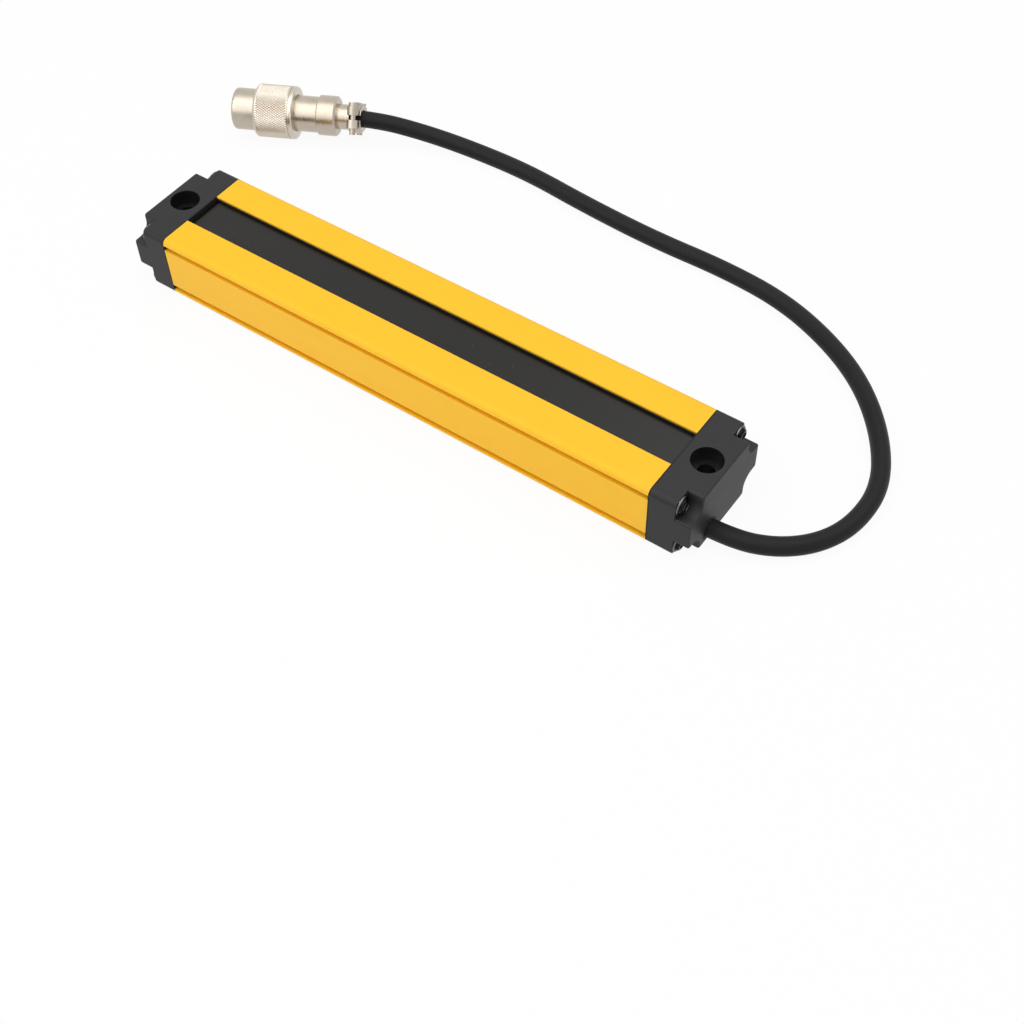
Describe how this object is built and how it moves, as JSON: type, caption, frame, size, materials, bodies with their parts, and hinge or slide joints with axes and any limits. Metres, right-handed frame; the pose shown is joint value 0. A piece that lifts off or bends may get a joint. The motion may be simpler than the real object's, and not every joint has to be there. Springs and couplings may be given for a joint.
{
  "type": "safety light curtain",
  "caption": "Bar-shaped light curtain unit: yellow aluminium profile with a dark optical window, black end caps and a lead to a round screw-on plug.",
  "frame": {"origin": "middle of the bar's flat back, between the two mounting holes", "axes": "+X along the bar towards the cap that the cable leaves, +Z out of the optical window"},
  "size_m": [0.264, 0.1103, 0.022],
  "materials": {
    "yellow_bar": "satin signal-yellow coating on extruded aluminium",
    "window_black": "dark infrared-pass acrylic",
    "cap_black": "fine-textured moulding",
    "seal_rubber": "matte",
    "screw_black": "black oxide",
    "board_green": "solder mask",
    "carrier_black": "matte",
    "lens_clear": "clear moulded lens",
    "diode_dark": "dark epoxy",
    "chip_black": "matte",
    "capacitor_tan": "matte",
    "terminal_white": "matte",
    "lamp_green": "clear",
    "lamp_red": "clear",
    "core_brown": "matte",
    "core_white": "matte",
    "core_blue": "matte",
    "core_black": "matte",
    "cable_black": "smooth matte jacket",
    "plug_nickel": "satin nickel plate on brass",
    "insert_black": "matte",
    "contact_gold": "gold flash",
    "clamp_screw_steel": "zinc plate"
  },
  "bodies": {
    "root": {"housing_profile": "yellow_bar", "front_window": "window_black", "window_seal_rear": "seal_rubber", "window_seal_front": "seal_rubber", "plain_end_cap": "cap_black", "cable_end_cap": "cap_black", "plain_cap_gasket": "seal_rubber", "cable_cap_gasket": "seal_rubber", "plain_cap_screws": "screw_black", "cable_cap_screws": "screw_black", "circuit_board": "board_green", "lens_carrier": "carrier_black", "controller_chip": "chip_black", "beam_driver_chip_1": "chip_black", "beam_driver_chip_2": "chip_black", "voltage_regulator": "chip_black", "storage_capacitor": "capacitor_tan", "output_transistor_1": "chip_black", "output_transistor_2": "chip_black", "wire_terminal": "terminal_white", "power_lamp": "lamp_green", "signal_lamp": "lamp_red", "brown_core": "core_brown", "white_core": "core_white", "blue_core": "core_blue", "black_core": "core_black", "cable_grommet": "seal_rubber", "signal_cable": "cable_black", "plug_shell": "plug_nickel", "plug_insert": "insert_black", "back_shell": "plug_nickel", "clamp_bar": "plug_nickel", "clamp_screws": "clamp_screw_steel", "lens_1": "lens_clear", "infrared_diode_1": "diode_dark", "lens_2": "lens_clear", "infrared_diode_2": "diode_dark", "lens_3": "lens_clear", "infrared_diode_3": "diode_dark", "lens_4": "lens_clear", "infrared_diode_4": "diode_dark", "lens_5": "lens_clear", "infrared_diode_5": "diode_dark", "lens_6": "lens_clear", "infrared_diode_6": "diode_dark", "lens_7": "lens_clear", "infrared_diode_7": "diode_dark", "lens_8": "lens_clear", "infrared_diode_8": "diode_dark", "contact_socket_1": "contact_gold", "contact_socket_2": "contact_gold", "contact_socket_3": "contact_gold", "contact_socket_4": "contact_gold"},
    "coupling_nut": {"coupling_nut": "plug_nickel"}
  },
  "joints": [
    {"name": "nut_turn", "type": "hinge", "parent": "root", "child": "coupling_nut", "pos_m": [-0.11238, 0.06254, 0.00895], "axis": [0.8967, 0.4426, 0], "continuous": true}
  ]
}
